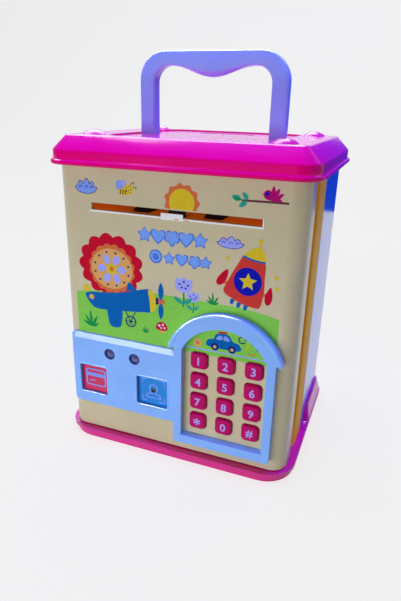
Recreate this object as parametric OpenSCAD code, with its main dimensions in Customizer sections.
// Toy safe coin bank: a small upright box with a hinged front door, a keypad, a motor-fed
// note slot, a lid with a carrying handle and a base tray. Front is -Y, up is +Z, and the
// origin is the centre of the footprint on the ground.

/* [Body] */
// Width of the body and of the door
body_w = 128; // [126:0.5:134]
// Depth of the body with the door closed
body_d = 103; // [102:0.5:112]
// Wall thickness of the mouldings
wall = 2.2; // [1.8:0.1:2.4]
// Corner radius of the rear shell
shell_r = 9; // [6:0.5:11]

/* [Levels] */
// Top of the base tray, where the walls stand
base_top = 5.8; // [5:0.1:7]
// Top of the skirt around the foot of the rear shell
skirt_top = 13.5; // [10:0.5:15]
// Lower edge of the lid
lid_bottom = 156; // [154:0.5:158]
// Flat top of the lid
lid_top = 170; // [169:0.5:172]
// Top of the carrying handle
handle_top = 210.8; // [205:0.2:216]

/* [Lid and base] */
// How far the lid band stands out from the body
lid_overhang = 3.6; // [3:0.1:4]
// How far the lid slope runs inwards and upwards
lid_slope = 7.3; // [6:0.1:8]
// How far the beads of the lid and the base stand out from their bands
bead_out = 1.4; // [1:0.1:1.6]
// How far the base band stands out from the body
base_overhang = 2.6; // [2:0.1:3]
// Length of the coin slot
coin_slot_l = 32; // [28:1:36]
// Width of the coin slot
coin_slot_w = 3.6; // [3:0.1:3.8]
// Distance of the coin slot behind the handle
coin_slot_y = 26; // [18:1:30]
// Depth of the shallow recess in the lid's top, where the handle stands
recess_d = 0.7; // [0.4:0.1:1]

/* [Handle] */
// Outer width of the handle
handle_w = 80.8; // [76:0.2:84]
// Width of one handle leg
leg_w = 8.4; // [7:0.1:9]
// Thickness of the handle, front to back
handle_t = 8; // [7:0.5:9]
// Height of the grip bar in the middle
grip_t = 10.8; // [9:0.1:12]
// How far the rounded underside of the grip hangs below its edges
grip_belly = 1.7; // [0:0.1:2]

/* [Door] */
// Depth of the door
door_t = 22; // [21:0.5:22.5]
// Groove between the door and the front frame
door_gap = 1.2; // [1:0.1:1.5]
// Radius of the rounded front edges of the door
door_front_r = 8.5; // [7:0.5:10]
// Radius of the rounded rear edges, which is also the hinge offset
door_rear_r = 6; // [5.5:0.1:6.5]
// Radius of the hinge pegs
peg_r = 2.5; // [2:0.1:3]

/* [Note slot] */
// Width of the note slot
slot_w = 88; // [84:1:90]
// Height of the note slot
slot_h = 3.5; // [3:0.1:4]
// Height of the middle of the note path
slot_z = 136.5; // [135:0.5:138]

/* [Keypad] */
// Side of one key
key_size = 9.2; // [8.6:0.1:9.4]
// Corner radius of one key
key_r = 2.2; // [1.5:0.1:3]
// Travel of one key
key_travel = 1.2; // [0.8:0.1:1.3]
// Spacing of the key columns
key_pitch_x = 14.5; // [13:0.1:14.8]
// Spacing of the key rows
key_pitch_z = 12; // [11.8:0.1:12.4]

/* [Console] */
// How far the console panel stands out from the door
console_out = 3.8; // [3:0.1:4.2]
// How far the keypad arch stands out from the door
arch_out = 4.6; // [4:0.1:4.8]

/* [Hidden] */
$fn = 64;
eps = 0.02;
pin_play = 0.05;

base_front_r = 16;
half_w = body_w / 2;
front_y = -body_d / 2;
back_y = body_d / 2;
inner_x = half_w - wall;

door_back = front_y + door_t;
frame_front = door_back + door_gap;
frame_back = frame_front + 22;
door_bottom = base_top + 0.6;
door_top = lid_bottom - 0.6;
hinge_x = -half_w + door_rear_r;
hinge_y = door_back - door_rear_r;
peg_l = 3.4;
shell_top = lid_bottom + 2;
flange_z = lid_bottom + 0.2;

// Doorway in the front frame
way_x0 = -50;
way_x1 = 53;
way_z0 = 13;
way_z1 = 150;
jamb_back = frame_front + 11.3;

// Screws between the lid, the posts and the base
cap_x = 48.5;
cap_y = 38;
recess_x = 41.6;
recess_y = 44;
seat_z = lid_top - recess_d;
front_screw_x = half_w - 5.8;
front_screw_y = frame_front + 10.3;
screw_r = 1.4;
pilot_r = 1.45;
boss_top = lid_top - 6;

// Inside of the door
skin_in = front_y + wall;
cover_out = door_back;
cover_in = door_back - wall;
cover_x = half_w - 6.8;
cover_z0 = door_bottom + 2.5;
cover_z1 = door_top - 2.5;
cover_screws = [for (x = [-53.5, 53.5], z = [12, 82, 148.8]) [x, z]];

// Key centres, row by row
keys_x = 30.4;
keys_z = 62.75;
key_names = ["1", "2", "3", "4", "5", "6", "7", "8", "9", "star", "0", "hash"];
key_flange = 1;
key_proud = 2;
key_back = skin_in + 0.2;
mat_front = key_back + key_flange + 0.7 + key_travel + 0.2;
board_front = mat_front + 1;
board_t = 1.6;
board_posts = [for (x = [7, 54], z = [19.2, 71.8]) [x, z]];
sensor_posts = [[-54.5, 49], [-30, 40]];

// Console
console_x0 = -60;
console_z0 = 22.5;
console_z1 = 66.2;
arch_x = 29.8;
arch_r = 31.2;
arch_top = 91;
arch_bottom = 13;
ear_z = 69.5;
leg_half = 26.6;
window_half = 22.2;
window_top = 83.5;
window_z0 = 18;
window_spring = 69;
card_w = 17.2;
face_w = 18.6;
pad_h = 17.5;
pad_z = 39.4;
card_x = -45.8;
face_x = -9.8;
led_z = 57.2;
led_xs = [-35, -20];
led_r = 3;
console_screws = [[-55.5, 27.5], [-55.5, 61], [5.4, 47], [54.2, 47], [29.8, 87.2]];

// Note feeder
feed_y = front_y + 12;
drive_r = 6.1;
pinch_r = 4.1;
nip = 0.25;
drive_z = slot_z - nip / 2 - drive_r;
pinch_z = slot_z + nip / 2 + pinch_r;
roller_xs = [-20, 18];
roller_l = 9;
drive_shaft_r = 1.5;
pinch_shaft_r = 1;
guide_half = 46;
cheek_t = 2;
feed_m = 0.6;
feed_teeth = 22;
feed_pinion_teeth = 10;
feed_motor_z = drive_z - feed_m * (feed_teeth + feed_pinion_teeth) / 2;
gear_x0 = 49.5;
gear_t = 3.5;
lever_y = feed_y - 6;
lever_z = 129.5;

// Latch
latch_m = 0.8;
latch_teeth = 10;
latch_x = 38;
bolt_y0 = -24;
bolt_y1 = -19;
bolt_z0 = 90;
bolt_z1 = 98;
bolt_x0 = 28;
bolt_x1 = 50.2;
rack_y = bolt_y0 - 1.2;
latch_y = rack_y - latch_m * latch_teeth / 2;
pocket_x0 = 24;
pocket_x1 = 50.4;
pocket_z0 = 68;
pocket_z1 = 104;
pocket_back = -16.6;
pocket_t = 1.4;

// Battery box
cell_r = 7.1;
cell_l = 50.5;
cell_pitch = 15.7;
box_x0 = -48;
box_x1 = 10;
box_z0 = 14;
box_z1 = 64;
box_front = -39.5;
box_back = -21.5;
box_t = 1.4;
cell_y = box_front + box_t + cell_r + 0.2;
cell_zs = [for (i = [-1:1]) (box_z0 + box_z1) / 2 + i * cell_pitch];
battery_screw = [-19, 67.6];

// Speaker
speaker_x = -36;
speaker_z = 98;
speaker_r = 14;

cream = [0.93, 0.86, 0.7];
amber = [0.86, 0.6, 0.25];
pink = [0.93, 0.05, 0.55];
blue = [0.62, 0.74, 0.95];
lilac = [0.66, 0.66, 0.95];
steel = [0.75, 0.76, 0.78];

// ---- outlines ----

// Points of an arc about [cx, cy], from angle a0 to angle a1
function arc(cx, cy, r, a0, a1, n = 8) =
    [for (i = [0:n]) let (a = a0 + (a1 - a0) * i / n) [cx + r * cos(a), cy + r * sin(a)]];

// Rectangle with one radius for its two low-y corners and one for its two high-y corners
function rounded(x0, y0, x1, y1, ra, rb) = concat(
    arc(x1 - ra, y0 + ra, ra, -90, 0),
    arc(x1 - rb, y1 - rb, rb, 0, 90),
    arc(x0 + rb, y1 - rb, rb, 90, 180),
    arc(x0 + ra, y0 + ra, ra, 180, 270));

// Body footprint grown by g on every side
function footprint(g, r) =
    rounded(-half_w - g, front_y - g, half_w + g, back_y + g, r, r);

// Outline of the base tray, standing out from the body by g
function base_outline(g) =
    rounded(-half_w - g, front_y - g, half_w + g, back_y + g, base_front_r, shell_r + g);

// Angle between a tooth's centre line and its flank at radius r, for an involute gear
function involute(a) = tan(a) - a * PI / 180;
function flank(r, pitch_r, teeth, slack) =
    let (base_r = pitch_r * cos(20), a = acos(min(1, base_r / r)))
    90 / teeth - slack / pitch_r * 180 / PI + (involute(20) - involute(a)) * 180 / PI;

// Outline of a spur gear with one tooth at angle phase
function gear_outline(m, teeth, phase) =
    let (pr = m * teeth / 2, tip = pr + 0.8 * m, root = pr - 1.2 * m,
         low = max(root, pr * cos(20)),
         radii = [root, for (i = [0:4]) low + (tip - low) * i / 4])
    [for (t = [0:teeth - 1])
        let (mid = phase + 360 * t / teeth)
        each concat(
            [for (r = radii) let (a = mid - flank(r, pr, teeth, 0.07)) [r * cos(a), r * sin(a)]],
            [for (i = [5:-1:0]) let (r = radii[i], a = mid + flank(r, pr, teeth, 0.07))
                [r * cos(a), r * sin(a)]])];

// Rings of a compression spring along +X, as points for a swept tube
function coil_point(r, wire, turns, length, u, v) =
    let (a = 360 * turns * u, rr = r + wire * cos(v))
    [length * u + wire * sin(v), rr * cos(a), rr * sin(a)];

// ---- helpers ----

module block(points, z0, z1) {
    translate([0, 0, z0]) linear_extrude(z1 - z0) polygon(points);
}

module box(x0, x1, y0, y1, z0, z1) {
    translate([x0, y0, z0]) cube([x1 - x0, y1 - y0, z1 - z0]);
}

// Extrudes a shape drawn in X and Z from y0 to y1
module along_y(y0, y1) {
    translate([0, y1, 0]) rotate([90, 0, 0]) linear_extrude(y1 - y0) children();
}

// Extrudes a shape drawn in Y and Z from x0 to x1
module along_x(x0, x1) {
    translate([x0, 0, 0]) rotate([90, 0, 90]) linear_extrude(x1 - x0) children();
}

module rod_x(x0, x1, y, z, r) {
    along_x(x0, x1) translate([y, z]) circle(r);
}

module rod_y(x, z, r, y0, y1) {
    along_y(y0, y1) translate([x, z]) circle(r);
}

module rod_z(x, y, r, z0, z1) {
    translate([x, y, z0]) cylinder(r = r, h = z1 - z0);
}

// A pan-head screw along Y whose head sits on y and whose shank points to -Y
module screw_y(x, z, y, head_r, head_h, length) {
    rod_y(x, z, head_r, y, y + head_h);
    rod_y(x, z, screw_r, y - length, y);
}

module at_corners() {
    for (x = [-cap_x, cap_x], y = [-cap_y, cap_y]) translate([x, y, 0]) children();
}

module spring_x(r, wire, turns, length, steps, sides) {
    rings = steps * turns;
    points = [for (i = [0:rings], k = [0:sides - 1])
        coil_point(r, wire, turns, length, i / rings, 360 * k / sides)];
    sweep = [for (i = [0:rings - 1], k = [0:sides - 1]) let (n = (k + 1) % sides)
        [i * sides + k, i * sides + n, (i + 1) * sides + n, (i + 1) * sides + k]];
    first = [for (k = [sides - 1:-1:0]) k];
    last = [for (k = [0:sides - 1]) rings * sides + k];
    polyhedron(points, concat(sweep, [first, last]), convexity = 4);
}

// ---- casing ----

module base_tray() {
    color(pink) difference() {
        union() {
            block(base_outline(base_overhang), 0, base_top - 1.6);
            block(base_outline(base_overhang + bead_out), base_top - 1.9, base_top);
            // sloping skirt around the foot of the rear shell
            difference() {
                hull() {
                    block(rounded(-half_w - 3.6, 2, half_w + 3.6, back_y + 3.6, 2, 12.6),
                          base_top - 1, base_top);
                    block(rounded(-half_w - 1.4, 8, half_w + 1.4, back_y + 1.4, 4, 10.4),
                          skirt_top - eps, skirt_top);
                }
                block(rounded(-half_w, 0, half_w, back_y, 0, shell_r), base_top, skirt_top + 1);
            }
        }
        difference() {
            block(rounded(-59, frame_front + 2.8, 59, back_y - 3, 6, 6), wall, base_top + 1);
            for (x = [-1, 1]) {
                rod_z(x * front_screw_x, front_screw_y, 5, 0, base_top + 2);
                rod_z(x * cap_x, cap_y, 5, 0, base_top + 2);
            }
        }
        rod_z(hinge_x, hinge_y, peg_r + pin_play, base_top - 3.4, base_top + 1);
        for (x = [-1, 1], p = [[front_screw_x, front_screw_y], [cap_x, cap_y]]) {
            rod_z(x * p[0], p[1], 3.3, -1, 2.4);
            rod_z(x * p[0], p[1], 1.7, -1, base_top + 1);
        }
    }
}

module front_frame() {
    color(amber) difference() {
        union() {
            difference() {
                block(rounded(-half_w, frame_front, half_w, frame_back, 6, 0),
                      base_top, shell_top);
                block(rounded(-inner_x, frame_front + wall, inner_x, frame_back + 5, 3.8, 0),
                      0, shell_top + 5);
            }
            box(way_x0 - 2, way_x1 + 2, frame_front + 1, jamb_back, way_z0 - 2, way_z1 + 2);
            // ledge over the door, inside the lid
            block(rounded(-half_w + 3, front_y + 2, half_w - 3, frame_front + 1, 7, 0),
                  flange_z, shell_top);
            rod_z(hinge_x, hinge_y, 4.6, flange_z, flange_z + 5.6);
            for (x = [-1, 1]) {
                rod_z(x * cap_x, -cap_y, 3.6, flange_z, boss_top);
                rod_z(x * front_screw_x, front_screw_y, 3.8, base_top, 24);
                // tongue that enters the rear shell
                box(x * (inner_x - 0.9) - 1.1, x * (inner_x - 0.9) + 1.1,
                    frame_back - 7, frame_back, 9, 154);
                box(x * (inner_x - 1.1) - 0.9, x * (inner_x - 1.1) + 0.9,
                    frame_back - 1, frame_back + 4.5, 9, 154);
            }
        }
        box(way_x0, way_x1, frame_front - 2, jamb_back + 2, way_z0, way_z1);
        rod_z(hinge_x, hinge_y, peg_r + pin_play, flange_z - 1, flange_z + 4);
        for (x = [-1, 1]) {
            rod_z(x * cap_x, -cap_y, pilot_r, boss_top - 8, boss_top + 1);
            rod_z(x * front_screw_x, front_screw_y, pilot_r, 0, 17);
        }
        // moulded line down each side
        for (x = [-1, 1])
            box(x * (half_w - 0.3) - 1.1, x * (half_w - 0.3) + 1.1, frame_front + 2.6,
                frame_front + 3.6, base_top + 1, lid_bottom - 1);
        // keeper slot for the latch bolt
        box(way_x1 - 1, way_x1 + 3.5, bolt_y0 - 0.6, bolt_y1 + 0.6, bolt_z0 - 0.6, bolt_z1 + 0.6);
    }
}

module rear_shell() {
    color(blue) difference() {
        union() {
            difference() {
                block(rounded(-half_w, frame_back + 0.3, half_w, back_y, 0, shell_r),
                      base_top, shell_top);
                block(rounded(-inner_x, frame_back - 5, inner_x, back_y - wall, 0, shell_r - wall),
                      0, shell_top + 5);
            }
            for (x = [-1, 1]) {
                rod_z(x * cap_x, cap_y, 4.2, base_top, boss_top);
                box(x * cap_x - 1, x * cap_x + 1, cap_y + 3, back_y - 1, base_top, shell_top);
            }
        }
        for (x = [-1, 1]) {
            rod_z(x * cap_x, cap_y, pilot_r, boss_top - 12, boss_top + 1);
            rod_z(x * cap_x, cap_y, pilot_r, 0, 17);
        }
    }
}

// Solid between two levels whose footprint grows by g0 below and g1 above
module tapered(g0, r0, z0, g1, r1, z1) {
    hull() {
        block(footprint(g0, r0), z0, z0 + eps);
        block(footprint(g1, r1), z1 - eps, z1);
    }
}

module lid() {
    slope_z = lid_top - lid_slope;
    color(pink) difference() {
        union() {
            difference() {
                union() {
                    block(footprint(lid_overhang + bead_out, 12.4), lid_bottom, lid_bottom + 2.2);
                    block(footprint(lid_overhang, 11), lid_bottom + 2, slope_z + eps);
                    tapered(lid_overhang, 11, slope_z, lid_overhang - lid_slope, 3, lid_top);
                }
                block(footprint(lid_overhang - wall, 8.6), lid_bottom - 1, slope_z - 0.8);
                tapered(lid_overhang - wall, 8.6, slope_z - 1,
                        lid_overhang - wall - 6.4, 2.4, lid_top - wall);
            }
            at_corners() rod_z(0, 0, 5, boss_top, lid_top - 1);
            for (x = [-1, 1])
                box(x * (handle_w - leg_w) / 2 - 4.6, x * (handle_w - leg_w) / 2 + 4.6,
                    -4.6, 4.6, lid_top - 6, lid_top - 1);
            // collar of the coin slot
            box(-coin_slot_l / 2 - 1.6, coin_slot_l / 2 + 1.6,
                coin_slot_y - coin_slot_w / 2 - 1.6, coin_slot_y + coin_slot_w / 2 + 1.6,
                lid_top - 6, lid_top - 1);
        }
        block(rounded(-recess_x, -recess_y, recess_x, recess_y, 12, 12), seat_z, lid_top + 1);
        at_corners() {
            rod_z(0, 0, 3.4, boss_top + 2.2, lid_top + 1);
            rod_z(0, 0, 1.7, boss_top - 1, lid_top);
        }
        for (x = [-1, 1])
            box(x * (handle_w - leg_w) / 2 - 2.6, x * (handle_w - leg_w) / 2 + 2.6,
                -2.6, 2.6, lid_top - 7, lid_top + 1);
        box(-coin_slot_l / 2, coin_slot_l / 2, coin_slot_y - coin_slot_w / 2,
            coin_slot_y + coin_slot_w / 2, lid_top - 7, lid_top + 1);
    }
}

module handle() {
    half = handle_w / 2;
    outer_r = 14.5;
    inner_r = 8.5;
    gap = half - leg_w;
    arch_z = handle_top - 7;
    grip_end = gap - inner_r;
    outer = concat([[half, seat_z]], arc(half - outer_r, handle_top - outer_r, outer_r, 0, 90),
                   arc(outer_r - half, handle_top - outer_r, outer_r, 90, 180),
                   [[-half, seat_z]]);
    inner = concat([[gap, lid_top - 5]], arc(grip_end, arch_z - inner_r, inner_r, 0, 90),
                   [for (i = [1:11]) let (x = grip_end * (1 - i / 6))
                       [x, arch_z - (grip_t - 7) * (0.5 + 0.5 * cos(180 * x / grip_end))]],
                   arc(-grip_end, arch_z - inner_r, inner_r, 90, 180), [[-gap, lid_top - 5]]);
    color(lilac) {
        along_y(-handle_t / 2, handle_t / 2) difference() {
            polygon(outer);
            polygon(inner);
        }
        // rounded underside of the grip
        along_y(-handle_t / 4, handle_t / 4)
            polygon([for (i = [-8:8]) let (x = grip_end * i / 8)
                [x, arch_z + 1 - (grip_t - 6 + grip_belly) * (0.5 + 0.5 * cos(180 * x / grip_end))]]);
        // snap pegs that pass through the lid
        for (x = [-1, 1]) translate([x * (half - leg_w / 2), 0, 0]) {
            box(-2.4, 2.4, -2.4, 2.4, lid_top - 8, lid_top + 1);
            box(-3.4, 3.4, -2.4, 2.4, lid_top - 7.6, lid_top - 6.2);
        }
    }
}

module screw_caps() {
    dome_r = 6;
    dome_h = 2.3;
    ball_r = (dome_r * dome_r + dome_h * dome_h) / (2 * dome_h);
    color(pink) at_corners() {
        translate([0, 0, lid_top]) intersection() {
            translate([0, 0, dome_h - ball_r]) sphere(ball_r);
            cylinder(r = ball_r, h = ball_r);
        }
        rod_z(0, 0, 3.3, lid_top - 1.8, lid_top + 0.2);
    }
}

module lid_screws() {
    color(steel) at_corners() {
        rod_z(0, 0, 2.9, boss_top + 2.2, boss_top + 4);
        rod_z(0, 0, screw_r, boss_top - 7, boss_top + 2.4);
    }
}

module base_screws() {
    color(steel) for (x = [-1, 1], p = [[front_screw_x, front_screw_y], [cap_x, cap_y]]) {
        rod_z(x * p[0], p[1], 2.9, 0.5, 2.4);
        rod_z(x * p[0], p[1], screw_r, 2.2, 16);
    }
}

// ---- door ----

module key_grid() {
    for (row = [0:3], col = [-1:1])
        translate([keys_x + col * key_pitch_x, 0, keys_z - row * key_pitch_z]) children();
}

module rounded_square(side, r) {
    polygon(rounded(-side / 2, -side / 2, side / 2, side / 2, r, r));
}

// Upright post inside the door, from the front skin to y, with a blind screw hole
module door_post(x, z, r, y) {
    difference() {
        rod_y(x, z, r, skin_in - 0.5, y);
        rod_y(x, z, pilot_r, y - 6, y + 1);
    }
}

module door_panel() {
    color(cream) {
        difference() {
            block(rounded(-half_w, front_y, half_w, door_back, door_front_r, door_rear_r),
                  door_bottom, door_top);
            block(rounded(-inner_x, skin_in, inner_x, hinge_y, door_front_r - wall, 0),
                  door_bottom + wall, door_top - wall);
            box(-cover_x - 0.3, cover_x + 0.3, hinge_y - 1, door_back + 1,
                door_bottom + wall, door_top - wall);
            box(-slot_w / 2, slot_w / 2, front_y - 1, skin_in + 1,
                slot_z - slot_h / 2, slot_z + slot_h / 2);
            key_grid() along_y(front_y - 1, skin_in + 1)
                rounded_square(key_size + 0.6, key_r + 0.3);
            for (x = led_xs) rod_y(x, led_z, led_r + 0.2, front_y - 1, skin_in + 1);
            rod_y(face_x, pad_z, 1.7, front_y - 1, skin_in + 1);
            for (p = console_screws) {
                rod_y(p[0], p[1], 1.7, front_y - 1, skin_in + 1);
                // flat seat for the screw head
                rod_y(p[0], p[1], 2.8, skin_in, skin_in + 3);
            }
        }
        for (p = cover_screws) door_post(p[0], p[1], 3.2, cover_in);
        for (p = board_posts) door_post(p[0], p[1], 3, board_front);
        for (p = sensor_posts) door_post(p[0], p[1], 3, board_front);
        for (x = [-51, 51]) door_post(x, 142, 2.6, feed_y - 5);
        rod_z(hinge_x, hinge_y, peg_r, door_bottom - peg_l, door_bottom + 1);
        rod_z(hinge_x, hinge_y, peg_r, door_top - 1, door_top + peg_l);
    }
}

module arch_outline() {
    intersection() {
        translate([arch_x, arch_top - arch_r]) circle(arch_r);
        translate([arch_x - 40, ear_z]) square([80, 40]);
    }
    translate([arch_x - leg_half, arch_bottom]) square([2 * leg_half, ear_z - arch_bottom + 1]);
}

module arch_window() {
    rise = window_top - window_spring;
    r = (window_half * window_half + rise * rise) / (2 * rise);
    intersection() {
        translate([arch_x, window_top - r]) circle(r);
        translate([arch_x - window_half, window_spring - 2]) square([2 * window_half, 30]);
    }
    translate([arch_x - window_half, window_z0])
        square([2 * window_half, window_spring - window_z0]);
}

module console() {
    arch_left = arch_x - leg_half;
    color(blue) difference() {
        union() {
            // panel with a bevelled rim
            hull() {
                along_y(front_y - 1.4, front_y)
                    polygon(rounded(console_x0, console_z0, arch_left + 1, console_z1, 2.5, 2.5));
                along_y(front_y - console_out, front_y - console_out + eps)
                    polygon(rounded(console_x0 + 2, console_z0 + 2, arch_left + 1,
                                    console_z1 - 2.2, 1.5, 1.5));
            }
            difference() {
                along_y(front_y - arch_out, front_y) arch_outline();
                along_y(front_y - arch_out - 1, front_y + 1) arch_window();
            }
        }
        along_y(front_y - 10, front_y + 1) {
            pad_outline(card_x, card_w, 0);
            pad_outline(face_x, face_w, 0);
        }
        for (x = led_xs) rod_y(x, led_z, led_r + 0.2, front_y - 10, front_y + 1);
        for (p = console_screws) rod_y(p[0], p[1], pilot_r, front_y - 2.6, front_y + 1);
    }
}

// Outline of a pad of width w at x, drawn in by a play
module pad_outline(x, w, play) {
    half = [w / 2 - play, pad_h / 2 - play];
    translate([x, pad_z]) polygon(rounded(-half.x, -half.y, half.x, half.y, 1.2, 1.2));
}

module card_pad() {
    color("crimson") along_y(front_y - 1.6, front_y) pad_outline(card_x, card_w, 0.2);
}

module face_pad() {
    color("teal") difference() {
        along_y(front_y - 1.6, front_y) pad_outline(face_x, face_w, 0.2);
        rod_y(face_x, pad_z, 1.4, front_y - 3, front_y + 1);
    }
}

module face_sensor() {
    color("black") {
        rod_y(face_x, pad_z, 1.3, front_y - 1, board_front - 1);
        rod_y(face_x, pad_z, 2, board_front - 1.6, board_front);
    }
}

module status_leds() {
    color("purple") for (x = led_xs) {
        rod_y(x, led_z, led_r, front_y - 0.8, board_front - 1);
        translate([x, front_y - 0.8, led_z]) sphere(led_r);
        rod_y(x, led_z, led_r + 0.4, board_front - 2, board_front);
    }
}

module sensor_board() {
    color("green") difference() {
        box(-58, -3, board_front, board_front + board_t, 33, 61.5);
        for (p = sensor_posts) rod_y(p[0], p[1], 1.6, board_front - 1, board_front + 3);
    }
}

module key(name) {
    i = search([name], key_names)[0];
    x = keys_x + (i % 3 - 1) * key_pitch_x;
    z = keys_z - floor(i / 3) * key_pitch_z;
    color("crimson") translate([x, 0, z]) {
        along_y(front_y - key_proud, key_back + 0.5) rounded_square(key_size, key_r);
        along_y(key_back, key_back + key_flange) rounded_square(key_size + 2, key_r + 0.8);
        rod_y(0, 0, 2, key_back + 0.5, key_back + key_flange + 0.7);
    }
}

module key_mat() {
    color("gainsboro") {
        box(10.6, 50.4, mat_front + 0.5, board_front, 21, 68.4);
        key_grid() rod_y(0, 0, 3.2, mat_front, mat_front + 0.7);
    }
}

module circuit_board() {
    color("green") difference() {
        box(4, 57, board_front, board_front + board_t, 16, 75);
        for (p = board_posts) rod_y(p[0], p[1], 1.6, board_front - 1, board_front + 3);
    }
}

module board_parts() {
    y = board_front + board_t;
    color("dimgray") {
        box(22, 34, y, y + 1.8, 40, 52);
        box(14, 20, y, y + 1.5, 24, 32);
        box(40, 50, y, y + 4.5, 62, 66);
        rod_y(44, 30, 3.2, y, y + 7);
        rod_y(36, 24, 2.5, y, y + 6);
        rod_y(45, 50, 2, y, y + 3.5);
    }
}

module board_screws() {
    color(steel) for (p = concat(board_posts, sensor_posts))
        screw_y(p[0], p[1], board_front + board_t, 2.4, 1.4, 5.4);
}

module console_screws() {
    color(steel) for (p = console_screws) {
        rod_y(p[0], p[1], 2.6, skin_in, skin_in + 1.4);
        rod_y(p[0], p[1], screw_r, front_y - 2.4, skin_in + 0.2);
    }
}

module inner_cover() {
    color(cream) difference() {
        union() {
            along_y(cover_in, cover_out)
                polygon(rounded(-cover_x, cover_z0, cover_x, cover_z1, 2, 2));
            box(box_x0, box_x1, box_front, box_back, box_z0, box_z1);
            box(pocket_x0, pocket_x1, cover_in, pocket_back, pocket_z0, pocket_z1);
            rod_y(battery_screw[0], battery_screw[1], 3.4, cover_in, box_back - box_t);
        }
        box(box_x0 + box_t, box_x1 - box_t, box_front + box_t, box_back + 5,
            box_z0 + box_t, box_z1 - box_t);
        difference() {
            box(pocket_x0 + pocket_t, pocket_x1 - pocket_t, cover_in - 1, pocket_back - pocket_t,
                pocket_z0 + pocket_t, pocket_z1 - pocket_t);
            // guides above and below the latch bolt
            for (x = [pocket_x0 + 1, pocket_x1 - 4.4]) {
                box(x, x + 3.4, bolt_y0 - 1, -10, bolt_z1 + 0.3, pocket_z1);
                box(x, x + 3.4, bolt_y0 - 1, -10, bolt_z0 - 2, bolt_z0 - 0.3);
            }
        }
        box(pocket_x1 - 3, pocket_x1 + 1, bolt_y0 - 0.4, bolt_y1 + 0.4,
            bolt_z0 - 0.4, bolt_z1 + 0.4);
        box(-slot_w / 2, slot_w / 2, cover_in - 1, cover_out + 1, slot_z - 3.5, slot_z + 3.5);
        for (ring = [0:2], i = [0:max(0, ring * 6 - 1)])
            rod_y(speaker_x + ring * 4 * cos(60 * i / max(1, ring)),
                  speaker_z + ring * 4 * sin(60 * i / max(1, ring)), 1.2,
                  cover_in - 1, cover_out + 1);
        for (p = cover_screws) rod_y(p[0], p[1], 1.7, cover_in - 1, cover_out + 1);
        rod_y(battery_screw[0], battery_screw[1], pilot_r, box_back - 8, box_back + 1);
    }
}

module cover_screws() {
    color(steel) for (p = cover_screws) screw_y(p[0], p[1], cover_out, 2.6, 1, 7.6);
}

module battery_cover() {
    color(cream) difference() {
        union() {
            box(box_x0 + box_t + 0.2, box_x1 - box_t - 0.2, box_back - box_t, box_back,
                box_z0 + box_t + 0.2, box_z1 - box_t - 0.2);
            along_y(box_back, box_back + 1.4)
                polygon(rounded(battery_screw[0] - 6, box_z1 - 8, battery_screw[0] + 6,
                                box_z1 + 8.4, 1, 3));
            along_y(box_back - box_t, box_back + 0.1)
                polygon(rounded(battery_screw[0] - 5, box_z1 + 0.2, battery_screw[0] + 5,
                                box_z1 + 8, 0.5, 2));
        }
        rod_y(battery_screw[0], battery_screw[1], 1.7, box_back - 3, box_back + 3);
    }
}

module battery_screw() {
    color(steel) screw_y(battery_screw[0], battery_screw[1], box_back + 1.4, 2.6, 1.4, 7);
}

module battery_cells() {
    x0 = box_x0 + box_t + 0.6;
    color("slategray") for (i = [0:2]) translate([0, 0, cell_zs[i]])
        translate([i == 1 ? box_x0 + box_x1 : 0, 0, 0]) mirror([i == 1 ? 1 : 0, 0, 0]) {
            rod_x(x0 + 1.3, x0 + cell_l, cell_y, 0, cell_r);
            rod_x(x0, x0 + 1.5, cell_y, 0, 2.7);
        }
}

module battery_contacts() {
    color(steel) for (z = cell_zs) {
        box(box_x0 + box_t, box_x0 + box_t + 0.5, cell_y - 5, cell_y + 5, z - 5, z + 5);
        box(box_x1 - box_t - 0.5, box_x1 - box_t, cell_y - 5, cell_y + 5, z - 5, z + 5);
    }
}

module battery_springs() {
    gap = box_x1 - box_x0 - 2 * box_t - cell_l - 1.4;
    color(steel) for (i = [0:2]) {
        x = i == 1 ? box_x0 + box_t + 0.8 : box_x1 - box_t - 0.8 - gap + 0.2;
        translate([x, cell_y, cell_zs[i]]) spring_x(3.6, 0.3, 2, gap - 0.4, 10, 6);
    }
}

module speaker_frame() {
    color("dimgray") {
        difference() {
            union() {
                rod_y(speaker_x, speaker_z, speaker_r, cover_in - 2.6, cover_in - 0.2);
                rod_y(speaker_x, speaker_z, 11, cover_in - 5.5, cover_in - 2.4);
            }
            rod_y(speaker_x, speaker_z, 12.4, cover_in - 2, cover_in + 1);
            rod_y(speaker_x, speaker_z, 9.8, cover_in - 4.6, cover_in + 1);
        }
        rod_y(speaker_x, speaker_z, 7, cover_in - 9.5, cover_in - 5.4);
    }
}

module speaker_cone() {
    color("black") translate([speaker_x, cover_in - 0.7, speaker_z]) rotate([90, 0, 0])
        rotate_extrude() polygon([[0, 2.6], [3, 2.6], [9, 0.6], [12.2, 0.6], [12.2, 0.1],
                                  [8.8, 0.1], [2.8, 2.1], [0, 2.1]]);
}

// ---- note feeder ----

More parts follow.
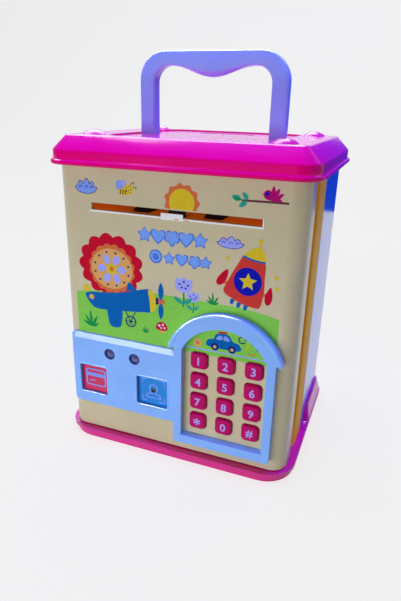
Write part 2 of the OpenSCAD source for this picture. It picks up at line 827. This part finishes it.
module note_guide() {
    y0 = skin_in + 0.1;
    y1 = cover_in - 0.5;
    outer = guide_half + cheek_t;
    color(amber) difference() {
        union() {
            box(-outer, outer, y0, y1, slot_z - 3.1, slot_z - 1.9);
            box(-outer, outer, y0, y1, slot_z + 2.1, slot_z + 3.3);
            box(-outer, -guide_half, y0, y1, 124, 147);
            box(guide_half, outer, y0, y1, 112, 147);
            for (x = [-1, 1]) {
                box(x * 50 - 4, x * 50 + 4, feed_y - 5, feed_y - 3, 139.2, 145);
                // lugs of the note lever
                box(x * 6.5 - 0.8, x * 6.5 + 0.8, lever_y - 2, lever_y + 2,
                    lever_z - 2, slot_z - 2);
            }
        }
        for (x = roller_xs) {
            box(x - roller_l / 2 - 0.6, x + roller_l / 2 + 0.6, feed_y - 6.4, y1 - 1.2,
                slot_z - 5, slot_z - 1);
            box(x - roller_l / 2 - 0.6, x + roller_l / 2 + 0.6, feed_y - 5, feed_y + 5,
                slot_z + 1, slot_z + 5);
        }
        box(-5, 5, lever_y - 2.4, lever_y + 8.4, slot_z - 5, slot_z - 1);
        rod_x(-outer - 1, outer + 1, feed_y, drive_z, drive_shaft_r + pin_play);
        rod_x(-outer - 1, outer + 1, feed_y, pinch_z, pinch_shaft_r + pin_play);
        rod_x(guide_half - 1, outer + 1, feed_y, feed_motor_z, 3.1);
        rod_x(-9, 9, lever_y, lever_z, 0.8 + pin_play);
        for (x = [-51, 51]) rod_y(x, 142, 1.6, feed_y - 7, feed_y);
    }
}

module guide_screws() {
    color(steel) for (x = [-51, 51]) screw_y(x, 142, feed_y - 3, 2.2, 1.4, 6);
}

module feed_motor() {
    color(steel) {
        intersection() {
            rod_x(24, 41, feed_y, feed_motor_z, 7.7);
            box(20, 45, feed_y - 10, feed_y + 10, feed_motor_z - 6.2, feed_motor_z + 6.2);
        }
        difference() {
            rod_x(40.5, guide_half + cheek_t - 0.2, feed_y, feed_motor_z, 3);
            rod_x(42, guide_half + cheek_t + 1, feed_y, feed_motor_z, 0.8 + pin_play);
        }
    }
}

module feed_pinion() {
    phase = 90 + 180 / feed_pinion_teeth;
    color("white") along_x(gear_x0, gear_x0 + gear_t) translate([feed_y, feed_motor_z])
        polygon(gear_outline(feed_m, feed_pinion_teeth, phase));
    color(steel) rod_x(42.2, gear_x0 + gear_t + 0.5, feed_y, feed_motor_z, 0.8);
}

module feed_gear() {
    color("white") difference() {
        along_x(gear_x0, gear_x0 + gear_t) translate([feed_y, drive_z])
            polygon(gear_outline(feed_m, feed_teeth, -90));
        rod_x(gear_x0 - 1, gear_x0 + gear_t + 1, feed_y, drive_z, drive_shaft_r);
    }
}

module roller_shaft() {
    color(steel) rod_x(-guide_half - cheek_t - 1, gear_x0 + gear_t + 1, feed_y, drive_z,
                       drive_shaft_r);
}

module rollers(z, r, shaft) {
    for (x = roller_xs) difference() {
        rod_x(x - roller_l / 2, x + roller_l / 2, feed_y, z, r);
        rod_x(x - roller_l, x + roller_l, feed_y, z, shaft);
    }
}

module feed_rollers() {
    color("black") rollers(drive_z, drive_r, drive_shaft_r);
}

module pinch_shaft() {
    color(steel) rod_x(-guide_half - cheek_t - 0.6, guide_half + cheek_t + 0.6, feed_y, pinch_z,
                       pinch_shaft_r);
}

module pinch_rollers() {
    color("black") rollers(pinch_z, pinch_r, pinch_shaft_r);
}

module note_lever() {
    color("white") {
        rod_x(-7.2, 7.2, lever_y, lever_z, 0.8);
        rod_x(-4.2, 4.2, lever_y, lever_z, 1.6);
        box(-4.2, 4.2, lever_y - 0.7, lever_y + 0.7, lever_z, slot_z + 0.9);
        box(-1.5, 1.5, lever_y - 0.7, lever_y + 0.7, lever_z - 4.4, lever_z);
    }
}

// ---- latch ----

module latch_motor() {
    color(steel) difference() {
        union() {
            intersection() {
                rod_z(latch_x, latch_y, 7.7, 70.4, 86);
                box(20, 60, latch_y - 6, latch_y + 6, 60, 100);
            }
            rod_z(latch_x, latch_y, 3, 85.5, 88);
        }
        rod_z(latch_x, latch_y, 1 + pin_play, 76, 90);
    }
}

module latch_pinion() {
    phase = 90 + 180 / latch_teeth;
    color("white") translate([latch_x, latch_y, 90.5]) linear_extrude(7)
        polygon(gear_outline(latch_m, latch_teeth, phase));
    color(steel) rod_z(latch_x, latch_y, 1, 76.4, 98.5);
}

module latch_bolt() {
    pitch = PI * latch_m;
    half = pitch / 4 - 0.07;
    lean = tan(20);
    top = 0.8 * latch_m;
    low = rack_y - bolt_y0;
    color("white") {
        box(bolt_x0, bolt_x1, bolt_y0, bolt_y1, bolt_z0, bolt_z1);
        for (k = [-3:1]) translate([latch_x + k * pitch, rack_y, bolt_z0])
            linear_extrude(bolt_z1 - bolt_z0) polygon([
                [-half + lean * top, -top], [half - lean * top, -top],
                [half - lean * low, -low + 0.1], [-half + lean * low, -low + 0.1]]);
    }
}

base_tray();
front_frame();
rear_shell();
lid();
handle();
screw_caps();
lid_screws();
base_screws();
door_panel();
console();
card_pad();
face_pad();
face_sensor();
status_leds();
sensor_board();
key_mat();
circuit_board();
board_parts();
board_screws();
console_screws();
inner_cover();
cover_screws();
battery_cover();
battery_screw();
battery_cells();
battery_contacts();
battery_springs();
speaker_frame();
speaker_cone();
note_guide();
guide_screws();
feed_motor();
feed_pinion();
feed_gear();
roller_shaft();
feed_rollers();
pinch_shaft();
pinch_rollers();
note_lever();
latch_motor();
latch_pinion();
latch_bolt();
for (n = key_names) key(n);
